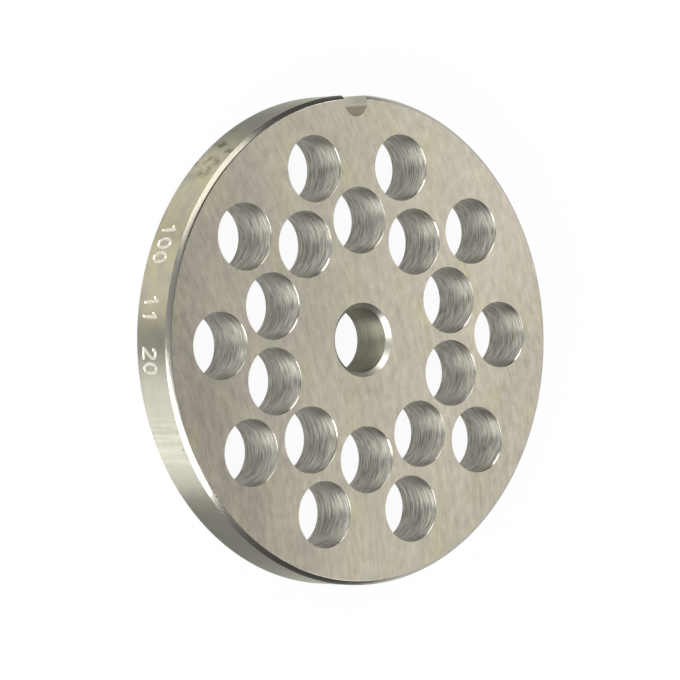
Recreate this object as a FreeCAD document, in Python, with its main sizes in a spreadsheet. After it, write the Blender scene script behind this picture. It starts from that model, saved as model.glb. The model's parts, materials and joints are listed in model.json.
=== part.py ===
# Meat grinder plate: a round steel disc with a centre bore, two staggered rings of
# round holes and one round-bottomed notch in the rim that keeps the plate from turning.
# Millimetres, +Z up. The plate lies flat: the origin is the bore's centre on the lower
# face, and the notch points to +Y. Both faces are alike, so the plate can be turned over.
import FreeCAD, Part
import math
import os

import Sketcher

NODE_NAME = "grinder_plate"
SHEET_NAME = "Sizes"

# The webs are the steel left standing: from the outer ring's holes to the rim, and the
# least that is left between neighbours in the inner ring and between the two rings. The
# notch's depth is from the rim to the lowest point of its round bottom.
SIZES = [
    ("plate_diameter", "100"),
    ("plate_thickness", "10.9"),
    ("rim_chamfer", "0.85"),
    ("bore_diameter", "13.4"),
    ("bore_chamfer", "0.9"),
    ("hole_diameter", "13.6"),
    ("hole_edge_break", "0.1"),
    ("rim_web", "6.35"),
    ("ring_web", "1.94"),
    ("hole_web", "1.45"),
    ("notch_width", "6"),
    ("notch_depth", "4.4"),
]

# The layout of the rings follows from the sizes. The chord height is from the plate's
# axis to the chord between two neighbours of the inner ring, and each outer hole stands
# one ring step beyond the middle of such a chord. As many holes are drilled as fit.
LAYOUT = [
    ("outer_ring_radius", "=(plate_diameter - hole_diameter) / 2 - rim_web"),
    ("ring_step", "=sqrt((hole_diameter + ring_web)^2 - ((hole_diameter + hole_web) / 2)^2)"),
    ("chord_height", "=outer_ring_radius - ring_step"),
    ("holes_per_ring", "=floor(180 deg / atan((hole_diameter + hole_web) / 2 / chord_height))"),
    ("inner_ring_radius", "=chord_height / cos(180 deg / holes_per_ring)"),
]

# Sketcher's own numbers for its two axes and for the points of a line or an arc.
Y_AXIS, X_AXIS = range(-2, 0)
START, END, CENTRE = range(1, 4)
ORIGIN = (X_AXIS, START)


def make_sheet(doc):
    """One named cell for each driving size, and one for each that follows from them."""
    sheet = doc.addObject("Spreadsheet::Sheet", SHEET_NAME)
    for row, (alias, value) in enumerate(SIZES + LAYOUT, start=1):
        sheet.set(f"A{row}", alias)
        sheet.set(f"B{row}", value)
        sheet.setAlias(f"B{row}", alias)
    doc.recompute()
    return sheet


def cell(alias):
    """A size as an expression writes it."""
    return f"{SHEET_NAME}.{alias}"


def origin_feature(body, role):
    """One of the body's own origin planes or axes."""
    for feature in body.Origin.OriginFeatures:
        if feature.Role == role:
            return feature
    raise RuntimeError(f"{body.Label} has no {role}")


def add_sketch(body, name, plane_role):
    sketch = body.newObject("Sketcher::SketchObject", name)
    sketch.AttachmentSupport = [(origin_feature(body, plane_role), "")]
    sketch.MapMode = "FlatFace"
    return sketch


def draw_lines(sketch, corners):
    """Straight lines through the corners in turn, each joined to the next."""
    points = [FreeCAD.Vector(x, y, 0) for x, y in corners]
    lines = []
    for first, second in zip(points, points[1:]):
        lines.append(sketch.addGeometry(Part.LineSegment(first, second), False))
    for line, following in zip(lines, lines[1:]):
        sketch.addConstraint(Sketcher.Constraint("Coincident", line, END, following, START))
    return lines


def draw_closed_outline(sketch, corners):
    lines = draw_lines(sketch, corners + corners[:1])
    sketch.addConstraint(Sketcher.Constraint("Coincident", lines[-1], END, lines[0], START))
    return lines


def align(sketch, kind, lines):
    for line in lines:
        sketch.addConstraint(Sketcher.Constraint(kind, line))


def dimension(sketch, kind, first, second, name, expression):
    """A driving DistanceX or DistanceY from one point to another, set by an expression."""
    span = sketch.getPoint(*second) - sketch.getPoint(*first)
    drawn = span.x if kind == "DistanceX" else span.y
    index = sketch.addConstraint(Sketcher.Constraint(kind, *first, *second, drawn))
    sketch.renameConstraint(index, name)
    sketch.setExpression(f"Constraints.{name}", expression)


def chamfer_legs(sketch, line, name, expression):
    """The two equal legs of the 45 degree chamfer that a line draws."""
    ends = [(line, START), (line, END)]
    for kind, axis, leg in (("DistanceX", 0, "across"), ("DistanceY", 1, "up")):
        low, high = sorted(ends, key=lambda end: sketch.getPoint(*end)[axis])
        dimension(sketch, kind, low, high, f"{name}_{leg}", expression)


def turn_disc(body, sheet):
    """The disc as it is turned: one revolved section with the chamfers of rim and bore."""
    rim = sheet.plate_diameter / 2
    rim_leg = sheet.rim_chamfer
    bore = sheet.bore_diameter / 2
    bore_leg = sheet.bore_chamfer
    top = sheet.plate_thickness
    sketch = add_sketch(body, "DiscSection", "XZ_Plane")
    lines = draw_closed_outline(sketch, [
        (bore + bore_leg, 0),
        (rim - rim_leg, 0),
        (rim, rim_leg),
        (rim, top - rim_leg),
        (rim - rim_leg, top),
        (bore + bore_leg, top),
        (bore, top - bore_leg),
        (bore, bore_leg),
    ])
    lower_face, lower_rim, rim_wall, upper_rim, upper_face, upper_bore, bore_wall, lower_bore = lines
    align(sketch, "Horizontal", [lower_face, upper_face])
    align(sketch, "Vertical", [rim_wall, bore_wall])
    sketch.addConstraint(Sketcher.Constraint("PointOnObject", lower_face, START, X_AXIS))
    dimension(sketch, "DistanceY", ORIGIN, (upper_face, START), "thickness", cell("plate_thickness"))
    dimension(sketch, "DistanceX", ORIGIN, (rim_wall, START), "rim_radius", cell("plate_diameter") + " / 2")
    dimension(sketch, "DistanceX", ORIGIN, (bore_wall, START), "bore_radius", cell("bore_diameter") + " / 2")
    chamfer_legs(sketch, lower_rim, "lower_rim", cell("rim_chamfer"))
    chamfer_legs(sketch, upper_rim, "upper_rim", cell("rim_chamfer"))
    chamfer_legs(sketch, lower_bore, "lower_bore", cell("bore_chamfer"))
    chamfer_legs(sketch, upper_bore, "upper_bore", cell("bore_chamfer"))
    disc = body.newObject("PartDesign::Revolution", "TurnedDisc")
    disc.Profile = sketch
    disc.ReferenceAxis = (sketch, ["V_Axis"])
    disc.Angle = 360
    return disc


def drill_hole(body, sheet, ring, ring_radius, seed_angle):
    """The first hole of a ring: a drill with its two edge breaks, turned about its axis."""
    middle = getattr(sheet, ring_radius)
    wall = middle + sheet.hole_diameter / 2
    leg = sheet.hole_edge_break
    top = sheet.plate_thickness
    sketch = add_sketch(body, f"{ring}DrillSection", "XZ_Plane")
    about_plate_axis = FreeCAD.Rotation(FreeCAD.Vector(0, 1, 0), 90)
    sketch.AttachmentOffset = FreeCAD.Placement(FreeCAD.Vector(), about_plate_axis)
    sketch.setExpression("AttachmentOffset.Rotation.Angle", seed_angle)
    lines = draw_closed_outline(sketch, [
        (middle, top),
        (middle, 0),
        (wall + leg, 0),
        (wall, leg),
        (wall, top - leg),
        (wall + leg, top),
    ])
    drill_axis, lower_end, lower_break, hole_wall, upper_break, upper_end = lines
    align(sketch, "Horizontal", [lower_end, upper_end])
    align(sketch, "Vertical", [drill_axis, hole_wall])
    sketch.addConstraint(Sketcher.Constraint("PointOnObject", lower_end, START, X_AXIS))
    dimension(sketch, "DistanceY", ORIGIN, (drill_axis, START), "length", cell("plate_thickness"))
    dimension(sketch, "DistanceX", ORIGIN, (drill_axis, END), "ring_radius", cell(ring_radius))
    dimension(sketch, "DistanceX", (drill_axis, END), (hole_wall, START), "hole_radius",
              cell("hole_diameter") + " / 2")
    chamfer_legs(sketch, lower_break, "lower_break", cell("hole_edge_break"))
    chamfer_legs(sketch, upper_break, "upper_break", cell("hole_edge_break"))
    drill = body.newObject("PartDesign::Groove", f"{ring}Hole")
    drill.Profile = sketch
    drill.ReferenceAxis = (sketch, [f"Edge{drill_axis + 1}"])
    drill.Angle = 360
    return drill


def repeat_round_plate(body, name, feature):
    """Copies of a cut, evenly spaced about the plate's axis."""
    pattern = body.newObject("PartDesign::PolarPattern", name)
    pattern.Originals = [feature]
    pattern.Axis = (origin_feature(body, "Z_Axis"), [""])
    pattern.Angle = 360
    pattern.setExpression("Occurrences", cell("holes_per_ring"))
    body.Tip = pattern
    return pattern


def cut_notch(body, sheet):
    """The locating notch: straight sides and a full round bottom, through the thickness."""
    rim = sheet.plate_diameter / 2
    half = sheet.notch_width / 2
    round_height = rim - sheet.notch_depth + half
    mouth_height = rim + half
    sketch = add_sketch(body, "NotchOutline", "XY_Plane")
    lines = draw_lines(sketch, [
        (half, round_height),
        (half, mouth_height),
        (-half, mouth_height),
        (-half, round_height),
    ])
    right_side, mouth, left_side = lines
    circle = Part.Circle(FreeCAD.Vector(0, round_height, 0), FreeCAD.Vector(0, 0, 1), half)
    bottom = sketch.addGeometry(Part.ArcOfCircle(circle, math.pi, 2 * math.pi), False)
    sketch.addConstraint(Sketcher.Constraint("Tangent", left_side, END, bottom, START))
    sketch.addConstraint(Sketcher.Constraint("Tangent", bottom, END, right_side, START))
    align(sketch, "Vertical", [left_side, right_side])
    align(sketch, "Horizontal", [mouth])
    sketch.addConstraint(Sketcher.Constraint("PointOnObject", bottom, CENTRE, Y_AXIS))
    dimension(sketch, "DistanceX", (mouth, END), (mouth, START), "width", cell("notch_width"))
    dimension(sketch, "DistanceY", ORIGIN, (bottom, CENTRE), "round_height",
              f"{cell('plate_diameter')} / 2 - {cell('notch_depth')} + {cell('notch_width')} / 2")
    dimension(sketch, "DistanceY", ORIGIN, (mouth, START), "mouth_height",
              f"({cell('plate_diameter')} + {cell('notch_width')}) / 2")
    notch = body.newObject("PartDesign::Pocket", "LocatingNotch")
    notch.Profile = sketch
    notch.Reversed = True
    notch.setExpression("Length", cell("plate_thickness"))
    return notch


def remaining_volume(feature, volume_before):
    """The volume left by a cut, because one that points away shows no error."""
    volume = feature.Shape.Volume
    if volume >= volume_before:
        raise RuntimeError(f"{feature.Label} cuts nothing")
    return volume


def check_document(doc, body):
    for item in doc.Objects:
        if "Invalid" in item.State or "Error" in item.State:
            raise RuntimeError(f"{item.Label} is {item.State}")
    if body.Shape.isNull() or not body.Shape.isValid():
        raise RuntimeError(f"{body.Label} has no valid shape")
    if len(body.Shape.Solids) != 1:
        raise RuntimeError(f"{body.Label} is not one solid")


def main():
    doc = FreeCAD.newDocument("GrinderPlate")
    sheet = make_sheet(doc)
    plate = doc.addObject("PartDesign::Body", NODE_NAME)
    plate.Label = NODE_NAME

    disc = turn_disc(plate, sheet)
    doc.recompute()
    volume = disc.Shape.Volume

    # The inner ring has a hole in line with the notch. The outer ring is half a step on,
    # so that its holes stand over the inner ring's gaps and either side of the notch.
    notch_angle = "90 deg"
    half_step = f"180 deg / {cell('holes_per_ring')}"
    rings = [
        ("Inner", "inner_ring_radius", notch_angle),
        ("Outer", "outer_ring_radius", f"{notch_angle} + {half_step}"),
    ]
    for ring, ring_radius, seed_angle in rings:
        hole = drill_hole(plate, sheet, ring, ring_radius, seed_angle)
        doc.recompute()
        volume = remaining_volume(hole, volume)
        holes = repeat_round_plate(plate, f"{ring}Holes", hole)
        doc.recompute()
        volume = remaining_volume(holes, volume)

    notch = cut_notch(plate, sheet)
    doc.recompute()
    remaining_volume(notch, volume)

    check_document(doc, plate)
    os.makedirs("parts", exist_ok=True)
    plate.Shape.exportStep(os.path.join("parts", f"{plate.Label}.step"))
    print(f"{plate.Label}: {plate.Shape.Volume:.1f} mm3, {len(plate.Shape.Faces)} faces")


main()
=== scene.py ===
# The looks of a meat grinder plate: ground faces, a turned rim with plain stamped numbers,
# bright chamfers, drilled holes, a reamed bore and a milled notch, all cut in one piece of
# steel. Metres, in the plate's own frame: +Z out of the upper face, +Y towards the notch.
import json
import math
import random

import bmesh
import bpy
from mathutils import Matrix, Vector
from mathutils.geometry import delaunay_2d_cdt


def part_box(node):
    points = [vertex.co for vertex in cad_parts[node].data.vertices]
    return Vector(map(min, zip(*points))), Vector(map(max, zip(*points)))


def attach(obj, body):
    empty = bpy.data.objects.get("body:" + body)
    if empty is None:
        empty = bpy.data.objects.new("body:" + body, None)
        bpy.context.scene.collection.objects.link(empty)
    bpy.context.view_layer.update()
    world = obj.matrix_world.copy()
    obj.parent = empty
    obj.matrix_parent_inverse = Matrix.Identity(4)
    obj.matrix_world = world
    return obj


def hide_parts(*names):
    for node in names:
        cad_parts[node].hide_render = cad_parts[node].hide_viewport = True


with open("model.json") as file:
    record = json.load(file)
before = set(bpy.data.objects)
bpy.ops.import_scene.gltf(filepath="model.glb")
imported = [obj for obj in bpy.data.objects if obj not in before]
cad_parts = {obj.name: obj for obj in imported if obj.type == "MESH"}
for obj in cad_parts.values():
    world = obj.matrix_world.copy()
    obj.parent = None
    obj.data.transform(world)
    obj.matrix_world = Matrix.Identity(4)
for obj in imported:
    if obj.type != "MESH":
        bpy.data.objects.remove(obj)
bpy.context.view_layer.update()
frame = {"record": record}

MM = 0.001
PLATE_NODE = "grinder_plate"

record = frame["record"]
mounts = {mount["name"]: mount for mount in record["mounts"]}
openings = record["physics"]["openings"]

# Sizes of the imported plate.
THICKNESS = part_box(PLATE_NODE)[1].z
RIM_RADIUS = mounts["rim"]["dims"]["r_mm"] * MM
RIM_CHAMFER = (THICKNESS - mounts["rim"]["dims"]["length_mm"] * MM) / 2
BORE_RADIUS = mounts["centre_bore"]["dims"]["r_mm"] * MM
BORE_CHAMFER = (THICKNESS - mounts["centre_bore"]["dims"]["length_mm"] * MM) / 2
NOTCH_ROUND_PLACE = mounts["rim_notch"]["pos_m"][1]
NOTCH_HALF_WIDTH = 3.0 * MM
HOLE_RADIUS = 6.8 * MM
HOLE_EDGE_BREAK = 0.1 * MM

# The upper mouths were broken by hand: nearly sharp on one side, and wider towards another.
SHARPEST_BREAK = 0.03 * MM
NARROWEST_EXTRA_BREAK = 0.02 * MM
WIDEST_EXTRA_BREAK = 0.21 * MM
EXTRA_BREAK_FROM = math.radians(-70)
EXTRA_BREAK_TO = math.radians(30)
EXTRA_BREAK_POWER = 5

# The rim's chamfers run into the faces over a rounded corner, nearly sharp round most of the
# plate and worn on one side. These are its reaches to either side of the corner's edge.
WIDEST_ROUNDING = 0.19 * MM
SHARPEST_ROUNDING = 0.03 * MM
WIDEST_ROUNDING_AT = math.radians(152)
ROUNDING_POWER = 6
CHAMFER_SLOPE = math.radians(45)
CORNER_POINTS = 3

HOLE_SEGMENTS = 120
BORE_SEGMENTS = 180
NOTCH_SEGMENTS = 32
RIM_STEP = math.radians(0.5)

# Plain numbers stamped into the rim: the plate's own diameter and thickness in
# millimetres, and its count of holes. Each stands upright when the rim is seen from
# outside, and reads in the direction of growing angle.
STAMP_HEIGHT = 3.9 * MM
STAMP_WIDTH = 1.9 * MM
STAMP_PITCH = 3.0 * MM
STAMP_BASE = 3.0 * MM
STAMP_DEPTH = 0.26 * MM
STAMP_HALF_STROKE = 0.36 * MM
STAMP_MARGIN = 0.6 * MM
STAMP_GRID = 0.07 * MM
STAMP_EDGE = 0.02 * MM
STAMP_TILT = math.radians(4)
STAMP_SHIFT = 0.12 * MM
SHALLOWEST_STAMP = 0.65
hole_count = sum("hole" in opening["name"] for opening in openings)
STAMPS = [
    (f"{RIM_RADIUS / MM * 2:.0f}", math.radians(155.5)),
    (f"{THICKNESS / MM:.0f}", math.radians(171)),
    (f"{hole_count}", math.radians(183)),
]

# What a face was cut with. These are also the numbers of the plate's material slots.
GROUND, TURNED, STAMPED, CHAMFERED, COUNTERSUNK, DRILLED, REAMED, MILLED = range(8)

# Seeded, so that each run strikes the stamps and breaks the edges alike.
luck = random.Random(32)


class Skin:
    """The plate's surface: points, and faces that each carry the finish they were cut with."""

    def __init__(self):
        self.points = []
        self.faces = []
        self.finishes = []

    def point(self, x, y, z):
        self.points.append((x, y, z))
        return len(self.points) - 1

    def face(self, corners, finish):
        self.faces.append(corners)
        self.finishes.append(finish)

    def is_struck(self, corners):
        """Whether a face of the rim's wall lies in a punch mark."""
        reach = sum(math.hypot(*self.points[corner][:2]) for corner in corners) / len(corners)
        return RIM_RADIUS - reach > STAMP_EDGE

    def circle(self, centre, count, radius, height):
        """A loop of points, whose radius and height are functions of the angle."""
        loop = []
        for step in range(count):
            angle = 2 * math.pi * step / count
            reach = radius(angle)
            x = centre[0] + reach * math.cos(angle)
            y = centre[1] + reach * math.sin(angle)
            loop.append(self.point(x, y, height(angle)))
        return loop

    def band(self, lower, upper, finish):
        """Faces between two rows of points of one length."""
        for index in range(len(lower) - 1):
            corners = [lower[index], lower[index + 1], upper[index + 1], upper[index]]
            self.face(corners, finish)

    def round_band(self, lower, upper, finish):
        self.band(lower + lower[:1], upper + upper[:1], finish)


def cut_through(skin, centre, count, radius, lower_break, upper_break, wall_finish, break_finish):
    """A round hole with a break at each mouth. Returns its lower and upper edges."""
    lower_edge = skin.circle(centre, count, lambda a: radius + lower_break(a), lambda a: 0)
    lower_wall = skin.circle(centre, count, lambda a: radius, lower_break)
    upper_wall = skin.circle(centre, count, lambda a: radius, lambda a: THICKNESS - upper_break(a))
    upper_edge = skin.circle(centre, count, lambda a: radius + upper_break(a), lambda a: THICKNESS)
    skin.round_band(lower_edge, lower_wall, break_finish)
    skin.round_band(lower_wall, upper_wall, wall_finish)
    skin.round_band(upper_wall, upper_edge, break_finish)
    return lower_edge, upper_edge


def bore(skin):
    def chamfer(angle):
        return BORE_CHAMFER
    return cut_through(skin, (0, 0), BORE_SEGMENTS, BORE_RADIUS, chamfer, chamfer, REAMED, COUNTERSUNK)


def drilled_hole(skin, centre):
    """A hole for the meat. Its upper mouth is wider towards one side, hole by hole."""
    widest_at = luck.uniform(EXTRA_BREAK_FROM, EXTRA_BREAK_TO)
    extra = luck.uniform(NARROWEST_EXTRA_BREAK, WIDEST_EXTRA_BREAK)

    def even_break(angle):
        return HOLE_EDGE_BREAK

    def uneven_break(angle):
        return SHARPEST_BREAK + extra * max(0, math.cos(angle - widest_at)) ** EXTRA_BREAK_POWER

    return cut_through(skin, centre, HOLE_SEGMENTS, HOLE_RADIUS, even_break, uneven_break,
                       DRILLED, CHAMFERED)


def arc(centre, radius, start, end, pieces=12):
    """Points on an arc, by angles in degrees."""
    points = []
    for step in range(pieces + 1):
        angle = math.radians(start + (end - start) * step / pieces)
        points.append((centre[0] + radius[0] * math.cos(angle), centre[1] + radius[1] * math.sin(angle)))
    return points


# The strokes of the digits that the numbers need, in a cell that is 1 wide and 1 high.
DIGIT_STROKES = {
    "0": arc((0.5, 0.5), (0.5, 0.5), 0, 360, 20),
    "1": [(0.15, 0.78), (0.55, 1), (0.55, 0)],
    "2": arc((0.5, 0.74), (0.46, 0.26), 165, -35) + [(0, 0), (1, 0)],
}


def distance_to_stroke(place, stroke):
    nearest = math.inf
    for first, second in zip(stroke, stroke[1:]):
        start = Vector(first)
        along = Vector(second) - start
        share = min(1, max(0, (place - start).dot(along) / along.length_squared))
        nearest = min(nearest, (start + share * along - place).length)
    return nearest


class StampedDigit:
    """One digit's punch mark in the rim, struck by hand: a little tilted, and not quite level."""

    def __init__(self, digit, angle):
        self.angle = angle
        tilt = Matrix.Rotation(luck.uniform(-STAMP_TILT, STAMP_TILT), 2)
        shift = Vector((0, luck.uniform(-STAMP_SHIFT, STAMP_SHIFT)))
        self.depth = STAMP_DEPTH * luck.uniform(SHALLOWEST_STAMP, 1)
        self.stroke = []
        for across, up in DIGIT_STROKES[digit]:
            corner = Vector(((across - 0.5) * STAMP_WIDTH, (up - 0.5) * STAMP_HEIGHT))
            self.stroke.append(tilt @ corner + shift)

    def depth_at(self, angle, height):
        across = (angle - self.angle) * RIM_RADIUS
        up = height - STAMP_BASE - STAMP_HEIGHT / 2
        if abs(across) > STAMP_PITCH / 2:
            return 0
        off = distance_to_stroke(Vector((across, up)), self.stroke) / STAMP_HALF_STROKE
        return self.depth * max(0, 1 - off * off)


def stamped_digits():
    digits = []
    for number, middle in STAMPS:
        for place, digit in enumerate(number):
            steps = place - (len(number) - 1) / 2
            digits.append(StampedDigit(digit, middle + steps * STAMP_PITCH / RIM_RADIUS))
    return digits


def stamp_windows():
    """The stretches of the rim, as angles, that need a fine mesh."""
    windows = []
    for number, middle in STAMPS:
        half = (len(number) * STAMP_PITCH / 2 + STAMP_MARGIN) / RIM_RADIUS
        windows.append((middle - half, middle + half))
    return windows


def evenly(start, end, step):
    """Values from start to end, with equal steps no larger than step."""
    count = math.ceil((end - start) / step)
    return [start + (end - start) * index / count for index in range(count + 1)]


def worn_corner(angle):
    """The corner between a face and the rim's chamfer, as distances in from the wall and off the face."""
    wear = max(0, math.cos(angle - WIDEST_ROUNDING_AT)) ** ROUNDING_POWER
    rounding = SHARPEST_ROUNDING + (WIDEST_ROUNDING - SHARPEST_ROUNDING) * wear
    radius = rounding / math.tan(CHAMFER_SLOPE / 2)
    corner = []
    for step in range(CORNER_POINTS):
        turn = CHAMFER_SLOPE * step / (CORNER_POINTS - 1)
        inwards = RIM_CHAMFER + rounding - radius * math.sin(turn)
        corner.append((inwards, radius * (1 - math.cos(turn))))
    return corner


def rim_column(skin, angle, place_at, heights):
    """Points up the rim: the lower worn corner, the wall's heights and the upper worn corner."""
    corner = worn_corner(angle)
    column = []
    for inwards, rise in corner:
        column.append(skin.point(*place_at(RIM_RADIUS - inwards), rise))
    for height, depth in heights:
        column.append(skin.point(*place_at(RIM_RADIUS - depth), height))
    for inwards, rise in reversed(corner):
        column.append(skin.point(*place_at(RIM_RADIUS - inwards), THICKNESS - rise))
    return column


def rim_columns(skin):
    """The rim's columns, from the notch's left side round to its right side."""
    wall_foot, wall_head = RIM_CHAMFER, THICKNESS - RIM_CHAMFER
    plain = [(wall_foot, 0), (wall_head, 0)]
    digits = stamped_digits()
    stamp_heights = evenly(STAMP_BASE - STAMP_MARGIN, STAMP_BASE + STAMP_HEIGHT + STAMP_MARGIN, STAMP_GRID)

    def beside_notch(side):
        def place_at(radius):
            x = side * NOTCH_HALF_WIDTH
            return x, math.sqrt(radius * radius - x * x)
        return rim_column(skin, math.pi / 2, place_at, plain)

    def at_angle(angle, heights):
        def place_at(radius):
            return radius * math.cos(angle), radius * math.sin(angle)
        return rim_column(skin, angle, place_at, heights)

    def stamped(angle):
        heights = plain[:1]
        for height in stamp_heights:
            heights.append((height, max(digit.depth_at(angle, height) for digit in digits)))
        return heights + plain[1:]

    notch_half_angle = math.asin(NOTCH_HALF_WIDTH / (RIM_RADIUS - RIM_CHAMFER))
    here = math.pi / 2 + notch_half_angle
    round_to = 5 * math.pi / 2 - notch_half_angle
    columns = [beside_notch(-1)]
    for start, end in stamp_windows():
        columns += [at_angle(angle, plain) for angle in evenly(here, start, RIM_STEP)[1:-1]]
        stamp_angles = evenly(start, end, STAMP_GRID / RIM_RADIUS)
        columns += [at_angle(angle, stamped(angle)) for angle in stamp_angles]
        here = end
    columns += [at_angle(angle, plain) for angle in evenly(here, round_to, RIM_STEP)[1:-1]]
    columns.append(beside_notch(1))
    return columns


def rim(skin):
    """The rim's wall and chamfers. Returns the lower and the upper edge."""
    columns = rim_columns(skin)
    wall = slice(CORNER_POINTS, -CORNER_POINTS)
    lower_chamfer = slice(0, CORNER_POINTS + 1)
    upper_chamfer = slice(-CORNER_POINTS - 1, None)
    for here, there in zip(columns, columns[1:]):
        skin.band(here[lower_chamfer], there[lower_chamfer], CHAMFERED)
        skin.band(here[upper_chamfer], there[upper_chamfer], CHAMFERED)
        here_wall, there_wall = here[wall], there[wall]
        if len(here_wall) == len(there_wall):
            for foot in range(len(here_wall) - 1):
                corners = [here_wall[foot], there_wall[foot], there_wall[foot + 1], here_wall[foot + 1]]
                skin.face(corners, STAMPED if skin.is_struck(corners) else TURNED)
        else:
            skin.face(here_wall + there_wall[::-1], TURNED)
    return columns


def notch(skin, left_column, right_column):
    """The notch's flat sides and round bottom. Returns its lower and upper edges, right to left."""
    edges = []
    for height in (0, THICKNESS):
        turn = arc((0, NOTCH_ROUND_PLACE), (NOTCH_HALF_WIDTH, NOTCH_HALF_WIDTH), 0, -180, NOTCH_SEGMENTS)
        edges.append([skin.point(x, y, height) for x, y in turn])
    lower, upper = edges
    skin.band(lower, upper, MILLED)
    skin.face(right_column + [upper[0], lower[0]], MILLED)
    skin.face(left_column + [upper[-1], lower[-1]], MILLED)
    return lower, upper


def ground_face(skin, outline, mouths):
    """A flat face inside the outline, with the mouths left open."""
    places = []
    indices = []
    edges = []
    owners = []
    for owner, loop in enumerate([outline, *mouths]):
        first = len(indices)
        for step, index in enumerate(loop):
            edges.append((first + step, first + (step + 1) % len(loop)))
            indices.append(index)
            owners.append(owner)
            places.append(Vector(skin.points[index][:2]) / MM)
    inside_outline = 1
    closeness = 1e-5
    triangles, sources = delaunay_2d_cdt(places, edges, [], inside_outline, closeness)[2:4]
    for triangle in triangles:
        corners = [sources[corner][0] for corner in triangle]
        loops = {owners[corner] for corner in corners}
        across_a_mouth = len(loops) == 1 and 0 not in loops
        if not across_a_mouth:
            skin.face([indices[corner] for corner in corners], GROUND)


def hole_centres():
    """The middle of each opening that is a hole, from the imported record."""
    centres = []
    for opening in openings:
        if "hole" in opening["name"]:
            low, high = opening["box_m"]
            centres.append(((low[0] + high[0]) / 2, (low[1] + high[1]) / 2))
    return centres


def plate_skin():
    skin = Skin()
    mouths = [bore(skin)]
    for centre in hole_centres():
        mouths.append(drilled_hole(skin, centre))
    columns = rim(skin)
    notch_edges = notch(skin, columns[0], columns[-1])
    for side, end in ((0, 0), (1, -1)):
        outline = [column[end] for column in columns] + notch_edges[side]
        ground_face(skin, outline, [mouth[side] for mouth in mouths])
    return skin


class Value:
    """A shader value. Python's operators on it add Math nodes, so formulas read as formulas."""

    def __init__(self, finish, socket):
        self.finish = finish
        self.socket = socket

    def maths(self, operation, *others):
        values = dict(enumerate([self, *others]))
        return self.finish.node("ShaderNodeMath", {"operation": operation}, values)

    def __add__(self, other):
        return self.maths("ADD", other)

    def __mul__(self, other):
        return self.maths("MULTIPLY", other)

    def __sub__(self, other):
        return self.maths("SUBTRACT", other)

    def __rsub__(self, other):
        return (self * -1) + other

    __radd__ = __add__
    __rmul__ = __mul__


# The Mix node's colour sockets share their names with its other ones, so they go by number.
FIRST_COLOUR, SECOND_COLOUR, MIXED_COLOUR = 6, 7, 2

# A stretch of the rim fades over this share of its half width to either side of its end.
STRETCH_SOFTNESS = 0.3

# The rotation, in whole turns, that lays the marks of turned steel round the Z axis.
QUARTER_TURN = 0.25


class Finish:
    """A material, or the world, whose nodes are built from values."""

    def __init__(self, name, kind=bpy.data.materials):
        self.owner = kind.new(name)
        self.owner.use_nodes = True
        self.nodes = self.owner.node_tree.nodes
        self.links = self.owner.node_tree.links
        self.nodes.clear()

    def node(self, kind, settings, inputs, output=0):
        """Adds a node, sets it up, feeds its sockets and returns one of its outputs."""
        node = self.nodes.new(kind)
        for name, setting in settings.items():
            setattr(node, name, setting)
        for name, given in inputs.items():
            if isinstance(given, Value):
                self.links.new(given.socket, node.inputs[name])
            else:
                node.inputs[name].default_value = given
        return Value(self, node.outputs[output]) if node.outputs else None

    def place(self):
        """The point of the surface as x, y and z in millimetres."""
        point = self.node("ShaderNodeTexCoord", {}, {}, "Object")
        in_mm = self.node("ShaderNodeVectorMath", {"operation": "SCALE"}, {0: point, "Scale": 1 / MM})
        return [self.node("ShaderNodeSeparateXYZ", {}, {0: in_mm}, axis) for axis in "XYZ"]

    def point(self, x, y, z):
        return self.node("ShaderNodeCombineXYZ", {}, {0: x, 1: y, 2: z})

    def noise(self, x, y, z, detail, seed=0.0):
        """Smooth noise from 0 to 1, one wave for each unit of x, y or z."""
        settings = {"noise_dimensions": "4D"}
        inputs = {"Vector": self.point(x, y, z), "W": seed, "Detail": detail, "Scale": 1.0}
        return self.node("ShaderNodeTexNoise", settings, inputs)

    def rise(self, value, start, full):
        """0 before start and 1 past full, with a smooth step between. Either may be the greater."""
        settings = {"interpolation_type": "SMOOTHSTEP"}
        inputs = {"Value": value, "From Min": start, "From Max": full}
        return self.node("ShaderNodeMapRange", settings, inputs)

    def mix(self, share, first, second):
        """From the first colour to the second, by share."""
        settings = {"data_type": "RGBA"}
        inputs = {"Factor": share, FIRST_COLOUR: first, SECOND_COLOUR: second}
        return self.node("ShaderNodeMix", settings, inputs, MIXED_COLOUR)

    def shade(self, colour, tone):
        """A colour times a value."""
        return self.node("ShaderNodeVectorMath", {"operation": "SCALE"}, {0: colour, "Scale": tone})

    def stretch(self, x, y, middle, half_width):
        """1 on a stretch of the rim and 0 away from it, with soft ends. It is given in degrees."""
        turn = math.radians(middle)
        towards = x * math.cos(turn) + y * math.sin(turn)
        start = math.cos(math.radians(half_width * (1 + STRETCH_SOFTNESS)))
        full = math.cos(math.radians(half_width * (1 - STRETCH_SOFTNESS)))
        return self.rise(towards, RIM_RADIUS / MM * start, RIM_RADIUS / MM * full)

    def bump(self, height):
        """A surface normal from a height in millimetres."""
        return self.node("ShaderNodeBump", {}, {"Height": height, "Distance": MM, "Strength": 1.0})

    def steel(self, colour, roughness, normal, anisotropic=0.0, grazing_tint=1.0):
        """Ends the material as bare steel, whose marks may run round the Z axis."""
        inputs = {
            "Base Color": colour,
            "Metallic": 1.0,
            "Roughness": roughness,
            "Normal": normal,
            "Specular Tint": (grazing_tint, grazing_tint, grazing_tint, 1),
            "Anisotropic": anisotropic,
            "Anisotropic Rotation": QUARTER_TURN,
        }
        self.show(self.node("ShaderNodeBsdfPrincipled", {}, inputs))
        return self.owner

    def show(self, surface):
        self.node("ShaderNodeOutputMaterial", {}, {"Surface": surface})


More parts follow.
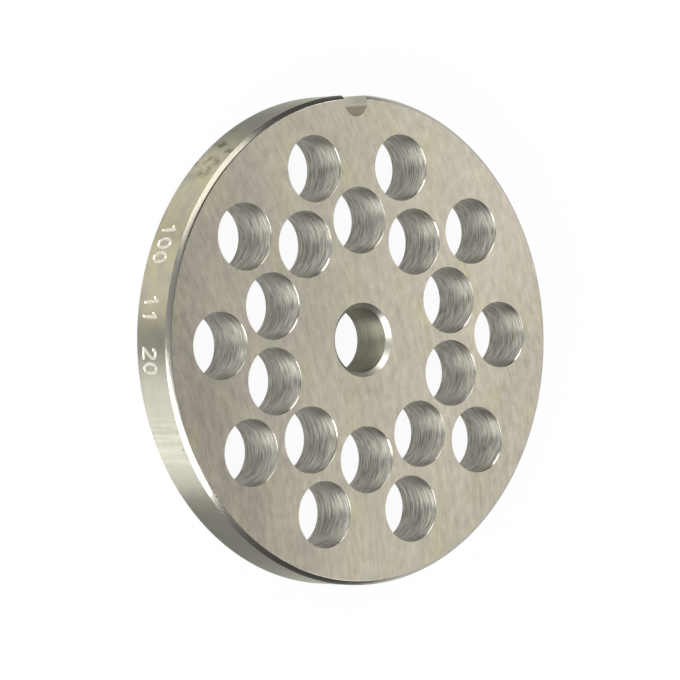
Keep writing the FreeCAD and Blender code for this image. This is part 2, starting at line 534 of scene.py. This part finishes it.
# The lie of the grinding marks on the faces: steep, from upper left to lower right, and
# slightly bent, as a wheel of this radius leaves them.
LAY_ANGLE = math.radians(-72)
LAY_BEND_RADIUS_MM = 180.0

# Marks on the faces. A darker ring runs round the bore: it starts, is darkest and ends at these
# radii. The violet tint grows towards -X. The faces grow darker towards both sides, and the
# darkening reaches further in away from the notch.
DARK_RING_START_MM, DARK_RING_DARKEST_MM, DARK_RING_END_MM = 9.2, 10.6, 12.4
VIOLET_START_MM, VIOLET_FULL_MM = 20.0, -45.0
DARKER_SIDES_START_MM, DARKER_SIDES_FULL_MM = 28.0, 50.0

STEEL = (0.505, 0.468, 0.378, 1)
VIOLET_STEEL = (0.448, 0.411, 0.350, 1)
YELLOWED_STEEL = (0.490, 0.462, 0.330, 1)
RIM_STEEL = (0.350, 0.342, 0.285, 1)
YELLOW_FILM_AND_SHEEN = (0.41, 0.380, 0.265, 1)
# Olive tarnish in the nick. In the blotches the same colour is painted shade.
OLIVE_TARNISH_AND_SHADE = (0.17, 0.16, 0.09, 1)
PRESSED_STEEL = (0.74, 0.71, 0.60, 1)
BRIGHT_STEEL = (0.52, 0.50, 0.44, 1)
# A yellow film with painted shade, which dims the chamfers' highlight.
FILMED_AND_SHADED_STEEL = (0.25, 0.238, 0.19, 1)
DRILLED_STEEL = (0.405, 0.393, 0.345, 1)
SCORED_STEEL = (0.21, 0.20, 0.165, 1)
REAMED_STEEL = (0.29, 0.28, 0.215, 1)
MILLED_STEEL = (0.52, 0.505, 0.43, 1)
BROWN_STAIN_AND_SHADE = (0.27, 0.242, 0.18, 1)

# Marks on the rim and its chamfers: their middles and half widths in degrees round the plate. The film is
# partly painted reflection, the blotches are painted shade, and on the chamfers a film and painted shade
# dim the highlight.
FILM_AND_SHEEN_MIDDLE, FILM_AND_SHEEN_HALF_WIDTH = 150, 24
SHADE_BLOTCH_MIDDLE, SHADE_BLOTCH_HALF_WIDTH = 131, 6
CHATTER_MIDDLE, CHATTER_HALF_WIDTH = 203, 6
FILM_AND_SHADE_MIDDLE, FILM_AND_SHADE_HALF_WIDTH = 140, 17
NICK_RADIUS_MM = 0.35
NICK_ANGLE = math.radians(204)
NICK_HEIGHT_MM = 9.2

# Where the bore's chamfers grow rougher, along Y. The painted shade on the bore's wall starts and is full
# at these squares of the distance from the bore's middle along Y, in square millimetres.
ROUGHER_START_MM, ROUGHER_FULL_MM = -5.2, -6.8
BORE_SHADE_START, BORE_SHADE_FULL = 5.0, 21.0

# A brown stain with painted shade fills the notch's round bottom. It starts and is full here, along Y.
STAIN_AND_SHADE_START_MM, STAIN_AND_SHADE_FULL_MM = 48.2, 47.5


def ground_finish():
    """Surface-ground steel: steep fine lines, longer scratches, faint clouds and stains, and darker
    towards the two sides away from the notch."""
    finish = Finish("ground_face")
    x, y, z = finish.place()
    along = x * math.cos(LAY_ANGLE) + y * math.sin(LAY_ANGLE)
    across = y * math.cos(LAY_ANGLE) - x * math.sin(LAY_ANGLE)
    bent = across + along * along * (0.5 / LAY_BEND_RADIUS_MM)
    lines = finish.noise(bent * 2.7, along * 0.26, z, detail=4.0)
    streaks = finish.noise(bent * 0.8, along * 0.045, z, detail=3.0, seed=7.0)
    mottle = finish.noise(x * 0.60, y * 0.40, z, detail=4.0, seed=3.0)
    clouds = finish.noise(x * 0.08, y * 0.06, z, detail=2.0, seed=5.0)
    stains = finish.noise(x * 0.13, y * 0.08, z, detail=3.0, seed=11.0)
    radius = (x * x + y * y).maths("SQRT")
    # Darker in a ring round the bore.
    dark_ring_start = finish.rise(radius, DARK_RING_START_MM, DARK_RING_DARKEST_MM)
    dark_ring_end = finish.rise(radius, DARK_RING_DARKEST_MM, DARK_RING_END_MM)
    dark_ring = dark_ring_start * (1 - dark_ring_end)
    violet = finish.rise(x, VIOLET_START_MM, VIOLET_FULL_MM)
    colour = finish.mix(finish.rise(clouds, 0.36, 0.62) * (0.35 + violet * 0.65), STEEL, VIOLET_STEEL)
    colour = finish.mix(finish.rise(stains, 0.50, 0.68) * 0.8, colour, YELLOWED_STEEL)
    # Darker towards both sides of the faces, and further in away from the notch.
    darker_sides = finish.rise(x.maths("ABSOLUTE") - y * 0.5, DARKER_SIDES_START_MM, DARKER_SIDES_FULL_MM)
    tone = 0.345 + lines * 0.52 + streaks * 0.27 + mottle * 0.54 - dark_ring * 0.07 - darker_sides * 0.15
    roughness = 0.34 + lines * 0.08 + streaks * 0.05
    height = lines * 0.0006 + streaks * 0.0008
    return finish.steel(finish.shade(colour, tone), roughness, finish.bump(height))


def turned_finish():
    """The rim's wall: turned steel with a yellow film that is partly painted reflection, olive blotches of
    painted shade, chatter marks and a nick.
    """
    finish = Finish("turned_rim")
    x, y, z = finish.place()
    rings = finish.noise(x * 0.02, y * 0.02, z * 5.0, detail=2.0)
    clouds = finish.noise(x * 0.15, y * 0.15, z * 0.3, detail=3.0, seed=9.0)
    mottle = finish.noise(x * 0.45, y * 0.45, z * 0.5, detail=3.0, seed=6.0)
    patches = finish.noise(x * 0.45, y * 0.45, z * 0.35, detail=4.0, seed=4.0)
    chatter = finish.noise(x * 0.9, y * 0.9, z * 0.04, detail=1.0, seed=2.0)
    # Partly a yellow film and partly a painted reflection, which lightens this stretch of the rim.
    film_and_painted_sheen = finish.stretch(x, y, FILM_AND_SHEEN_MIDDLE, FILM_AND_SHEEN_HALF_WIDTH) * finish.rise(clouds, 0.25, 0.6)
    colour = finish.mix(film_and_painted_sheen, RIM_STEEL, YELLOW_FILM_AND_SHEEN)
    # The olive blotches are painted shade.
    painted_shade_blotches = finish.stretch(x, y, SHADE_BLOTCH_MIDDLE, SHADE_BLOTCH_HALF_WIDTH) * finish.rise(patches, 0.47, 0.66)
    colour = finish.mix(painted_shade_blotches, colour, OLIVE_TARNISH_AND_SHADE)
    radius = RIM_RADIUS / MM
    nick_place = (radius * math.cos(NICK_ANGLE), radius * math.sin(NICK_ANGLE), NICK_HEIGHT_MM)
    from_nick = finish.node("ShaderNodeVectorMath", {"operation": "DISTANCE"},
                            {0: finish.point(x, y, z), 1: nick_place}, "Value")
    nick = finish.rise(from_nick, NICK_RADIUS_MM, NICK_RADIUS_MM / 2)
    colour = finish.mix(nick, colour, OLIVE_TARNISH_AND_SHADE)
    chattered = finish.stretch(x, y, CHATTER_MIDDLE, CHATTER_HALF_WIDTH)
    tone = 0.72 + rings * 0.14 + clouds * 0.20 + mottle * 0.24 + chattered * (chatter - 0.36) * 0.9
    roughness = 0.46 + rings * 0.04
    normal = finish.bump(rings * 0.0006)
    return finish.steel(finish.shade(colour, tone), roughness, normal, anisotropic=1.0)


def stamped_finish():
    """The punch marks in the rim: steel pressed smooth, and brighter than the rim round it."""
    finish = Finish("stamped_mark")
    x, y, z = finish.place()
    grain = finish.noise(x * 2.0, y * 2.0, z * 2.0, detail=2.0)
    colour = finish.shade(PRESSED_STEEL[:3], 0.75 + grain * 0.5)
    roughness = 0.18 + grain * 0.1
    return finish.steel(colour, roughness, finish.bump(grain * 0.01))


def bright_finish(name, roughness, extra_below=0.0):
    """A bright turned surface with faint chatter, darker beside the rim's yellow film, where a film and
    painted shade dim its highlight. It can be rougher on the side of the bore that is away from the notch."""
    finish = Finish(name)
    x, y, z = finish.place()
    chatter = finish.noise(x * 0.8, y * 0.8, z * 4.0, detail=2.0)
    tone = 0.94 + chatter * 0.12
    # A yellow film and painted shade, which dim the chamfers' highlight on this stretch.
    film_and_painted_shade = finish.stretch(x, y, FILM_AND_SHADE_MIDDLE, FILM_AND_SHADE_HALF_WIDTH) * (0.72 + chatter * 0.5)
    colour = finish.shade(finish.mix(film_and_painted_shade, BRIGHT_STEEL, FILMED_AND_SHADED_STEEL), tone)
    below = finish.rise(y, ROUGHER_START_MM, ROUGHER_FULL_MM)
    roughness = roughness + chatter * 0.06 + below * extra_below
    return finish.steel(colour, roughness, finish.bump(chatter * 0.001), grazing_tint=0.6)


def chamfer_finish():
    """The rim's chamfers and the holes' edge breaks, nearly polished."""
    return bright_finish("bright_chamfer", roughness=0.18)


def countersunk_finish():
    """The bore's chamfers: rougher than the others, and more so away from the notch."""
    return bright_finish("countersunk_chamfer", roughness=0.31, extra_below=0.13)


def drilled_finish():
    """Hole walls: ring-shaped drill marks with darker scores."""
    finish = Finish("drilled_wall")
    x, y, z = finish.place()
    rings = finish.noise(x * 0.30, y * 0.30, z * 3.9, detail=5.0)
    scores = finish.noise(x * 0.45, y * 0.45, z * 3.0, detail=4.0, seed=4.0)
    colour = finish.mix(finish.rise(scores, 0.54, 0.68) * 0.8, DRILLED_STEEL, SCORED_STEEL)
    tone = (rings * 3.0 - 0.48).maths("MAXIMUM", 0.05)
    roughness = 0.46 + scores * 0.10
    normal = finish.bump(rings * 0.03 + scores * 0.012)
    return finish.steel(finish.shade(colour, tone), roughness, normal, anisotropic=0.85)


def reamed_finish():
    """The bore's wall: smoother and darker than the holes, with cloudy rings, and painted shade
    on its sides towards the notch and away from it."""
    finish = Finish("reamed_bore")
    x, y, z = finish.place()
    rings = finish.noise(x * 0.08, y * 0.08, z * 1.6, detail=3.0)
    clouds = finish.noise(x * 0.32, y * 0.32, z * 0.5, detail=4.0, seed=6.0)
    # Painted shade on the bore wall's sides, which narrows its lit band.
    sides = finish.rise(y * y, BORE_SHADE_START, BORE_SHADE_FULL)
    tone = (0.26 + rings * 0.95 + clouds * 0.60) * (1 - sides * 0.32)
    colour = finish.shade(REAMED_STEEL[:3], tone)
    roughness = 0.46 + clouds * 0.10
    return finish.steel(colour, roughness, finish.bump(rings * 0.003), anisotropic=0.85)


def milled_finish():
    """The notch's wall: dull milled steel, with a brown stain and painted shade in its round bottom."""
    finish = Finish("milled_notch")
    x, y, z = finish.place()
    marks = finish.noise(x * 1.5, y * 1.5, z * 0.3, detail=3.0)
    # A brown stain with painted shade in the notch's round bottom.
    stained_and_shaded = finish.rise(y, STAIN_AND_SHADE_START_MM, STAIN_AND_SHADE_FULL_MM)
    colour = finish.shade(finish.mix(stained_and_shaded, MILLED_STEEL, BROWN_STAIN_AND_SHADE), 0.85 + marks * 0.3)
    return finish.steel(colour, roughness=0.40, normal=finish.bump(marks * 0.004))


SHARP_ANGLE = math.radians(32)


def plate():
    """The plate as one mesh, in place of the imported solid. It is shaded smooth, but for edges between
    two finishes and edges that turn by more than the sharp angle."""
    skin = plate_skin()
    mesh = bpy.data.meshes.new("plate_steel")
    mesh.from_pydata(skin.points, [], skin.faces)
    for make_finish in (ground_finish, turned_finish, stamped_finish, chamfer_finish, countersunk_finish,
                        drilled_finish, reamed_finish, milled_finish):
        mesh.materials.append(make_finish())
    mesh.polygons.foreach_set("material_index", skin.finishes)
    surface = bmesh.new()
    surface.from_mesh(mesh)
    bmesh.ops.recalc_face_normals(surface, faces=surface.faces)
    for edge in surface.edges:
        finishes = {face.material_index for face in edge.link_faces}
        edge.smooth = len(finishes) == 1 and edge.calc_face_angle(math.pi) < SHARP_ANGLE
    for face in surface.faces:
        face.smooth = True
    surface.to_mesh(mesh)
    surface.free()
    piece = bpy.data.objects.new("plate_steel", mesh)
    bpy.context.scene.collection.objects.link(piece)
    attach(piece, "root")
    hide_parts(PLATE_NODE)


# The photograph's view: where its camera stands, which way its picture's right and top
# point, and its focal length for a sensor 36 mm wide.
CAMERA_PLACE = Vector((-0.6256, 0.0135, 0.7690))
PICTURE_RIGHT = Vector((0.7737, -0.0301, 0.6328))
PICTURE_UP = Vector((0.0319, 0.9995, 0.0085))
CAMERA_LENS = 255.2
SENSOR_WIDTH = 36.0
CLIP_START = 0.05


def camera():
    data = bpy.data.cameras.new("camera")
    data.lens = CAMERA_LENS
    data.sensor_width = SENSOR_WIDTH
    data.clip_start = CLIP_START
    holder = bpy.data.objects.new("camera", data)
    back = PICTURE_RIGHT.cross(PICTURE_UP).normalized()
    up = back.cross(PICTURE_RIGHT).normalized()
    turned = Matrix((up.cross(back), up, back)).transposed()
    holder.matrix_world = Matrix.Translation(CAMERA_PLACE) @ turned.to_4x4()
    bpy.context.scene.collection.objects.link(holder)
    bpy.context.scene.camera = holder


FLOOR_HALF_SIZE = 1.2
FLOOR_GAP = 0.02 * MM
FLOOR_COLOUR = (0.90, 0.90, 0.90, 1)
FLOOR_WHITE_SHARE = 0.95


def floor():
    """A plain pale floor. What it shows is mostly white, and the rest is the plate's shadow."""
    mesh = bpy.data.meshes.new("floor")
    corners = [(-1, -1), (1, -1), (1, 1), (-1, 1)]
    mesh.from_pydata([(x * FLOOR_HALF_SIZE, y * FLOOR_HALF_SIZE, 0) for x, y in corners], [], [range(4)])
    finish = Finish("pale_floor")
    rays = ("Is Camera Ray", "Is Glossy Ray", "Is Transmission Ray")
    seen = sum(finish.node("ShaderNodeLightPath", {}, {}, ray) for ray in rays)
    lit = finish.node("ShaderNodeBsdfDiffuse", {}, {"Color": FLOOR_COLOUR})
    white = finish.node("ShaderNodeEmission", {}, {"Color": (1, 1, 1, 1), "Strength": 1.0})
    finish.show(finish.node("ShaderNodeMixShader", {}, {0: seen * FLOOR_WHITE_SHARE, 1: lit, 2: white}))
    mesh.materials.append(finish.owner)
    piece = bpy.data.objects.new("floor", mesh)
    piece.location = (0, 0, -FLOOR_GAP)
    bpy.context.scene.collection.objects.link(piece)


def softbox(name, azimuth, elevation, distance, size, brightness):
    """A lamp with a rectangular face that looks at the plate. The angles are in degrees."""
    data = bpy.data.lights.new(name, "AREA")
    data.shape = "RECTANGLE"
    data.size, data.size_y = size
    data.energy = brightness * math.pi * size[0] * size[1]
    holder = bpy.data.objects.new(name, data)
    turn, lift = math.radians(azimuth), math.radians(elevation)
    away = Vector((math.cos(turn) * math.cos(lift), math.sin(turn) * math.cos(lift), math.sin(lift)))
    holder.location = away * distance
    holder.rotation_mode = "QUATERNION"
    holder.rotation_quaternion = away.to_track_quat("Z", "Y")
    bpy.context.scene.collection.objects.link(holder)


def lamps():
    """A high softbox over the right side, which the faces mirror, two broad ones either side of the
    camera, a low one below it, and two small ones over the plate's far ends."""
    near, far = 0.6, 0.9
    softbox("softbox_over", azimuth=0, elevation=34.2, distance=near, size=(0.75, 0.37), brightness=1.75)
    softbox("softbox_left_far", azimuth=114, elevation=24, distance=far, size=(0.62, 0.50), brightness=3.7)
    softbox("softbox_left_near", azimuth=213, elevation=24, distance=far, size=(0.78, 0.48), brightness=8.2)
    softbox("softbox_low", azimuth=155, elevation=14, distance=far, size=(0.48, 0.28), brightness=7.2)
    softbox("softbox_back", azimuth=46, elevation=38, distance=far, size=(0.26, 0.26), brightness=5.0)
    softbox("softbox_front", azimuth=311, elevation=38, distance=far, size=(0.28, 0.28), brightness=5.0)


ROOM_DARK = (0.08, 0.08, 0.08, 1)
ROOM_BRIGHT = (0.33, 0.33, 0.33, 1)
ROOM_BRIGHTEST_TOWARDS = (-0.7, 0.0, 0.7)
ROOM_RISE_FROM = 0.1
ROOM_RISE_TO = 0.9


def studio_air():
    """The room round the plate: brightest above the camera, and dim towards the floor's far edge."""
    air = Finish("studio", bpy.data.worlds)
    direction = air.node("ShaderNodeTexCoord", {}, {}, "Generated")
    towards = air.node("ShaderNodeVectorMath", {"operation": "DOT_PRODUCT"},
                       {0: direction, 1: ROOM_BRIGHTEST_TOWARDS}, "Value")
    light = air.mix(air.rise(towards, ROOM_RISE_FROM, ROOM_RISE_TO), ROOM_DARK, ROOM_BRIGHT)
    background = air.node("ShaderNodeBackground", {}, {"Color": light})
    air.node("ShaderNodeOutputWorld", {}, {"Surface": background})
    bpy.context.scene.world = air.owner


plate()
floor()
camera()
lamps()
studio_air()
bpy.context.scene.view_settings.view_transform = "Standard"
